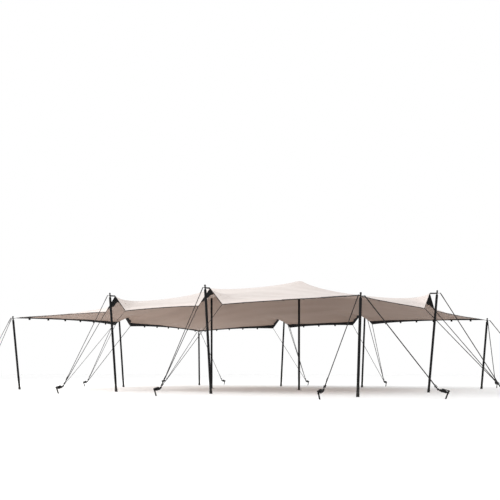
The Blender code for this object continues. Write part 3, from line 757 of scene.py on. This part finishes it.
def add_patches(xs, ys, points, normals):
    """Black reinforcement under the pickups, corners and peaks, and bound over each corner's edges."""
    mid_x, mid_y = midpoints(xs)[:, None], midpoints(ys)[None, :]
    inside_x, inside_y = inside_edges(xs, ys)

    def at_pickup(off_middle, inside):
        tip = (off_middle + inside * PATCH_SLANT < PATCH_REACH) & (inside < PATCH_REACH)
        return tip | (inside < FLANK_BAND * (1 - off_middle / FLANK_REACH))

    cells = at_pickup(np.abs(mid_y - MIDDLE_Y), inside_x) | (inside_x + inside_y < CORNER_PATCH)
    for middle in KING_X:
        cells |= at_pickup(np.abs(mid_x - middle), inside_y)
        cells |= np.hypot(mid_x - middle, mid_y - MIDDLE_Y) < PEAK_PATCH
    upper = points - normals * (SEWN_GAP + HEM_THICKNESS + SEWN_GAP)
    under = cell_shell("patches_under", xs, ys, cells, upper - normals * PATCH_THICKNESS, upper, WEBBING)
    lower = points + normals * (CLOTH_THICKNESS + SEWN_GAP)
    from_corner, from_edge = inside_x + inside_y, np.minimum(inside_x, inside_y)
    narrow = (from_edge < BINDING_WIDTH) & (from_corner < BINDING_REACH / 2)
    narrow |= (from_edge < BINDING_WIDTH / 2) & (from_corner < BINDING_REACH)
    over = cell_shell("patches_over", xs, ys, narrow, lower, lower + normals * PATCH_THICKNESS, WEBBING)
    for item in (under, over):
        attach(item, "root")
    return under, over


def edge_rings(xs, ys, points):
    """Each border side as (places along it, outer points, points two lines inside, its loops' drop)."""
    return [
        (xs, points[:, 0], points[:, 2], FLAT_LOOP_DROP),
        (xs, points[:, -1], points[:, -3], LOOP_DROP),
        (ys, points[0], points[2], LOOP_DROP),
        (ys, points[-1], points[-3], FLAT_LOOP_DROP),
    ]


def swept(path, across, width, thickness):
    """Vertices and faces of a flat band along a path, with its width along a fixed direction."""
    verts, faces = [], []
    for k, place in enumerate(path):
        before, after = path[max(k - 1, 0)], path[min(k + 1, len(path) - 1)]
        along = (after - before).normalized()
        flat = across.cross(along).normalized() * (thickness / 2)
        side = across * (width / 2)
        verts += [place + side + flat, place - side + flat, place - side - flat, place + side - flat]
    for k in range(len(path) - 1):
        for n in range(4):
            faces.append([4 * k + n, 4 * k + (n + 1) % 4, 4 * k + 4 + (n + 1) % 4, 4 * k + 4 + n])
    faces += [[3, 2, 1, 0], [len(verts) - 4 + n for n in range(4)]]
    return verts, faces


def gathered(name, bands, *materials):
    """One object from several (vertices, faces) lists."""
    verts, faces = [], []
    for more_verts, more_faces in bands:
        faces += [[len(verts) + n for n in face] for face in more_faces]
        verts += [tuple(v) for v in more_verts]
    mesh = bpy.data.meshes.new(name)
    mesh.from_pydata(verts, [], faces)
    bm = bmesh.new()
    bm.from_mesh(mesh)
    bmesh.ops.recalc_face_normals(bm, faces=bm.faces)
    bm.to_mesh(mesh)
    bm.free()
    mesh.shade_smooth()
    mesh.set_sharp_from_angle(angle=FITTING_SHARP)
    return link(name, mesh, *materials)


def loop_places(lines, pickup_middles):
    """Places along an edge for its spare loops, counted from each pickup's feet towards the next."""
    stops = [lines[0] + LOOP_INSET]
    for middle in pickup_middles:
        stops += [middle - PICKUP_HALF_WIDTH, middle + PICKUP_HALF_WIDTH]
    stops.append(lines[-1] - LOOP_INSET)
    found = []
    for start, end in zip(stops[::2], stops[1::2]):
        count = max(2, round((end - start) / LOOP_STEP))
        found += list(np.linspace(start, end, count + 1))
    feet = [middle + sign * PICKUP_HALF_WIDTH for middle in pickup_middles for sign in (-1, 1)]
    return [place for place in found if min(abs(place - foot) for foot in feet) > LOOP_CLEARANCE]


def add_edge_loops(xs, ys, points, normals):
    """Spare webbing tabs sewn under the hem, each folded into a loop that hangs from the edge."""
    bands = []
    down = normals * (2 * SEWN_GAP + HEM_THICKNESS + LOOP_THICKNESS)
    for lines, outer, inner, loop_drop in edge_rings(xs, ys, points - down):
        for place in loop_places(lines, KING_X if lines is xs else [MIDDLE_Y]):
            here, tangent, inward = (
                Vector([np.interp(place, lines, row[:, k]) for k in range(3)])
                for row in (outer, np.gradient(outer, axis=0), inner - outer)
            )
            tangent.normalize()
            inward.normalize()
            path = [here + inward * tail for tail in LOOP_TAIL]
            for angle in np.linspace(LOOP_MOUTH, 2 * math.pi - LOOP_MOUTH, LOOP_POINTS):
                swing = LOOP_REACH * math.sin(angle)
                path.append(here + inward * swing - Vector((0, 0, loop_drop * (1 - math.cos(angle)) / 2)))
            bands.append(swept(path, tangent, LOOP_WIDTH, LOOP_THICKNESS))
    item = gathered("edge_loops", bands, WEBBING)
    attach(item, "root")
    return item


# Fittings on the poles, guys and ratchets

def frame_along(origin, along, side_hint=(0, 0, 1)):
    """A matrix at origin whose Z axis runs along a direction and whose X axis lies square to the hint."""
    z_axis = Vector(along).normalized()
    x_axis = Vector(side_hint).cross(z_axis).normalized()
    rotation = Matrix((x_axis, z_axis.cross(x_axis), z_axis)).transposed().to_4x4()
    return Matrix.Translation(Vector(origin)) @ rotation


def anchors():
    """Each anchor as (station, direction, reach, slot)."""
    found = []
    for station in CORNERS:
        to_end = Vector((math.copysign(1, station.out[0]), 0, 0))
        to_side = Vector((0, math.copysign(1, station.out[1]), 0))
        found.append((station, to_end, CORNER_GUY_REACH_ALONG_X, SLOTS[0]))
        found.append((station, to_side, CORNER_GUY_REACH_ALONG_Y, SLOTS[1]))
    for station in SIDES:
        found.append((station, outward(station), SIDE_GUY_REACH, SLOTS[0]))
    return found


def anchor_frame(station, direction, reach):
    """Loop centre on the stake and centre of the guy's ring ball."""
    ground = foot_point(station) + direction * reach
    axis = (direction * math.tan(STAKE_LEAN) + Vector((0, 0, 1))).normalized()
    loop_centre = ground + axis * STAKE_LOOP_AT
    return loop_centre, loop_centre - direction * TENSIONER_RUN + Vector((0, 0, TENSIONER_RISE))


def on_pole(station, below_top):
    return pole_top(station) - pole_axis(station) * below_top


def rounded_ring(inner, outer, height, matrix, sides):
    """A washer with rounded edges, centred on the matrix and turned about its Z axis."""
    soft = min(height, outer - inner) * RING_SOFTNESS
    half = height / 2
    profile = [
        (inner, -half + soft), (inner + soft, -half), (outer - soft, -half), (outer, -half + soft),
        (outer, half - soft), (outer - soft, half), (inner + soft, half), (inner, half - soft),
    ]
    count = len(profile)
    verts, faces = [], []
    for k in range(sides):
        angle = 2 * math.pi * k / sides
        verts += [matrix @ Vector((r * math.cos(angle), r * math.sin(angle), z)) for r, z in profile]
        here, after = k * count, ((k + 1) % sides) * count
        for n in range(count):
            m = (n + 1) % count
            faces.append([here + n, after + n, after + m, here + m])
    return verts, faces


def soft_block(size, matrix, soft=BLOCK_SOFTNESS):
    """A block with chamfered long edges, centred on the matrix, its length along Z."""
    x, y, z = (value / 2 for value in size)
    cut = soft * min(x, y)
    outline = [
        (x - cut, y), (x, y - cut), (x, -y + cut), (x - cut, -y),
        (-x + cut, -y), (-x, -y + cut), (-x, y - cut), (-x + cut, y),
    ]
    verts, faces = [], []
    for height, shrink in ((-z, BLOCK_END), (-z + cut, 1), (z - cut, 1), (z, BLOCK_END)):
        verts += [matrix @ Vector((a * shrink, b * shrink, height)) for a, b in outline]
    for level in range(3):
        for n in range(8):
            m = (n + 1) % 8
            faces.append([level * 8 + n, level * 8 + m, level * 8 + 8 + m, level * 8 + 8 + n])
    faces += [list(range(7, -1, -1)), list(range(24, 32))]
    return verts, faces


def wire(start, end, radius):
    """A straight round wire between two points."""
    verts, faces = [], []
    for place in (start, end):
        matrix = frame_along(place, end - start, (0.3, 0.2, 1))
        for n in range(WIRE_SIDES):
            angle = 2 * math.pi * n / WIRE_SIDES
            verts.append(matrix @ Vector((radius * math.cos(angle), radius * math.sin(angle), 0)))
    for n in range(WIRE_SIDES):
        m = (n + 1) % WIRE_SIDES
        faces.append([n, m, WIRE_SIDES + m, WIRE_SIDES + n])
    faces += [list(range(WIRE_SIDES - 1, -1, -1)), [WIRE_SIDES + n for n in range(WIRE_SIDES)]]
    return verts, faces


def add_fitting(name, bands, material):
    item = gathered(name, bands, material)
    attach(item, "root")


def add_neck_washers():
    """Rubber rings that keep the sling loops in place on each pole's spigot."""
    bands = []
    for station in CORNERS + SIDES:
        upper = UPPER_WASHERS[:1] if station in CORNERS else UPPER_WASHERS
        rings = [(place, UPPER_WASHER_RADIUS) for place in upper] + [(LOWER_WASHER, LOWER_WASHER_RADIUS)]
        for below, outer in rings:
            place = frame_along(on_pole(station, below), pole_axis(station))
            bands.append(rounded_ring(SPIGOT_RADIUS + WASHER_PLAY, outer, WASHER_HEIGHT, place, RING_SIDES))
    add_fitting("neck_washers", bands, RUBBER)


def guy_line(station, direction, reach, slot):
    """Both ends of the strap from a pole's head to its ring."""
    head = on_pole(station, slot)
    ring = anchor_frame(station, direction, reach)[1]
    level = ring - head
    level.z = 0
    return head + level.normalized() * GUY_ARM, ring


def places_in(base):
    """A function that gives the matrix at a place in the base matrix's own frame."""
    return lambda x, y, z: base @ Matrix.Translation((x, y, z))


def add_strap_fittings():
    """Doubled webbing at both ends of each pole guy and at the corners, and a buckle above each ring."""
    doubles, buckles = [], []
    for station, direction, reach, slot in anchors():
        head, ring = guy_line(station, direction, reach, slot)
        along = (head - ring).normalized()
        on_edge = abs(direction.x) > abs(direction.y)
        base = frame_along(ring, along) @ Matrix.Rotation(math.pi / 2 if on_edge else 0, 4, "Z")
        at = places_in(base)
        by_head = at(0, 0, (head - ring).length - HEAD_DOUBLED_AT)
        by_ring = at(0, 0, RING_BALL_RADIUS + RING_DOUBLED_AT)
        doubles.append(soft_block((DOUBLED_WIDTH, DOUBLED_THICKNESS, HEAD_DOUBLED), by_head))
        doubles.append(soft_block((DOUBLED_WIDTH, DOUBLED_THICKNESS, RING_DOUBLED), by_ring))
        # The strap's loose tail lifts a little off it
        tail = []
        for step in range(TAIL_STEPS):
            lift = TAIL_LIFT + TAIL_CURL * math.sin(TAIL_TURN * step)
            tail.append(at(0, lift, RING_BALL_RADIUS + TAIL_AT + TAIL_STEP * step).translation)
        doubles.append(swept(tail, base.to_3x3() @ Vector((1, 0, 0)), TAIL_WIDTH, TAIL_THICKNESS))
        for place in BUCKLE_BARS:
            start, end = (
                at(x, BUCKLE_OUT, RING_BALL_RADIUS + place).translation for x in (-BUCKLE_HALF, BUCKLE_HALF)
            )
            buckles.append(wire(start, end, BUCKLE_WIRE))
        for side in (-1, 1):
            cheek = at(side * BUCKLE_HALF, BUCKLE_OUT, RING_BALL_RADIUS + BUCKLE_BARS[1])
            buckles.append(soft_block(BUCKLE_CHEEK, cheek))
    for station in CORNERS:
        corner, spigot = corner_hold(station), on_pole(station, SLOTS[0])
        between = frame_along((corner + spigot) / 2, spigot - corner)
        length = (spigot - corner).length - CORNER_DOUBLED_ENDS
        doubles.append(soft_block((CORNER_DOUBLED_WIDTH, CORNER_DOUBLED_THICKNESS, length), between))
    add_fitting("strap_doubles", doubles, STRAP)
    add_fitting("strap_buckles", buckles, STEEL)


def add_ratchet_fittings():
    """Webbing wound on each drum, a rubber grip on each handle, and the wheel's teeth."""
    rolls, grips, teeth = [], [], []
    for station, direction, reach, _ in anchors():
        loop_centre, ring = anchor_frame(station, direction, reach)
        along = (loop_centre - ring).normalized()
        base = frame_along(ring + along * (RING_BALL_RADIUS + SEAT_GAP), along)
        base = base @ Matrix.Rotation(math.pi, 4, "Z") @ Matrix.Scale(TENSIONER_SCALE, 4)
        at = places_in(base)

        def round_drum(x, radius, angle):
            return at(x, radius * math.cos(angle), DRUM_AT + radius * math.sin(angle))

        spiral = []
        for step in range(ROLL_STEPS):
            angle = step * ROLL_TURN
            radius = DRUM_RADIUS + DRUM_PITCH * angle / (2 * math.pi)
            spiral.append(round_drum(0, radius, angle).translation)
        spiral += [at(*place).translation for place in ROLL_END]
        across = base.to_3x3() @ Vector((1, 0, 0)) / TENSIONER_SCALE
        rolls.append(swept(spiral, across, ROLL_WIDTH, ROLL_THICKNESS))
        grips.append(soft_block(GRIP_SIZE, at(*GRIP_PLACE), GRIP_SOFTNESS))
        for side in (-1, 1):
            for tooth in range(TEETH):
                angle = 2 * math.pi * tooth / TEETH
                turned = round_drum(side * WHEEL_HALF, WHEEL_RADIUS, angle) @ Matrix.Rotation(-angle, 4, "X")
                teeth.append(soft_block(TOOTH_SIZE, turned))
            rivet = at(side * RIVET_HALF, 0, DRUM_AT) @ Matrix.Rotation(math.pi / 2, 4, "Y")
            teeth.append(rounded_ring(RIVET_BORE, RIVET_RADIUS, RIVET_THICKNESS, rivet, RIVET_SIDES))
    add_fitting("ratchet_webbing", rolls, WEBBING)
    add_fitting("ratchet_grips", grips, RUBBER)
    add_fitting("ratchet_teeth", teeth, STEEL)


# Light, floor and world

def add_floor():
    mesh = bpy.data.meshes.new("floor")
    bm = bmesh.new()
    bmesh.ops.create_grid(bm, x_segments=1, y_segments=1, size=FLOOR_HALF)
    bm.to_mesh(mesh)
    bm.free()
    material, tree, shader = new_material("floor_pale")
    soiling = noise(tree, object_place(tree), SOILING_SCALE, 4.0)
    tone = ramp(tree, soiling, (0.3, 0.7), greys(FLOOR_TONES))
    tree.links.new(tone, shader.inputs["Base Color"])
    shader.inputs["Roughness"].default_value = 0.9
    shader.inputs["Specular IOR Level"].default_value = 0.1
    floor = link("floor", mesh, material)


def add_world():
    world = bpy.data.worlds.new("studio")
    world.use_nodes = True
    tree = world.node_tree
    background = tree.nodes["Background"]
    # White all round, softer overhead so that the shadow under the tent stays pale
    direction = tree.nodes.new("ShaderNodeTexCoord").outputs["Generated"]
    glow = map_range(tree, separate(tree, direction)[2], ZENITH_SPAN, (HORIZON_STRENGTH, ZENITH_STRENGTH))
    # A broad fill from the front
    toward_front = node(tree, "ShaderNodeVectorMath", operation="DOT_PRODUCT")
    tree.links.new(direction, toward_front.inputs[0])
    toward_front.inputs[1].default_value = FRONT
    fill = map_range(tree, toward_front.outputs["Value"], FRONT_SPAN, (1.0, FRONT_FILL))
    tree.links.new(maths(tree, "MULTIPLY", glow, fill), background.inputs["Strength"])
    background.inputs["Color"].default_value = (*WHITE, 1)
    bpy.context.scene.world = world


def add_key():
    """One soft light from the left."""
    data = bpy.data.lights.new("key", "AREA")
    data.shape = "SQUARE"
    data.size = KEY_SIZE
    data.energy = KEY_POWER
    data.color = KEY_COLOUR
    item = bpy.data.objects.new("key", data)
    item.location = KEY_PLACE
    item.rotation_euler = (Vector(KEY_TARGET) - Vector(KEY_PLACE)).to_track_quat("-Z", "Y").to_euler()
    bpy.context.scene.collection.objects.link(item)


def set_view():
    bpy.context.scene.view_settings.view_transform = "Standard"
    bpy.context.scene.view_settings.look = "None"


add_camera()
CLOTH_TOP = cloth_material("cloth_cream", *CREAM, TOP_SHEEN)
# The cloth's underside gets the painted-shade copy of the cloth
CLOTH_UNDER = cloth_material("cloth_underside_painted_shade", *PAINTED_UNDERSIDE_SHADE, UNDER_SHEEN)
WEBBING = webbing_material("webbing_black", BLACK_WEB)
STRAP = webbing_material("webbing_charcoal", CHARCOAL_WEB)
POLE = pole_material("pole_satin_black")
STEEL = steel_material("steel_blackened", *BLACKENED_STEEL)
RUBBER = rubber_material("rubber_black")
surface = cloth_surface()
canopy = add_canopy(*surface)
sewn = [add_hem(*surface), *add_patches(*surface), add_edge_loops(*surface)]
add_neck_washers()
add_strap_fittings()
add_ratchet_fittings()
for name, item in NODES.items():
    if name.startswith(("pole_", "king_pole_")):
        give(item, POLE)
    elif name.startswith("guy_"):
        give(item, STRAP)
    elif name.startswith(("ratchet_", "stake_")):
        give(item, STEEL)
add_floor()
add_world()
add_key()
set_view()
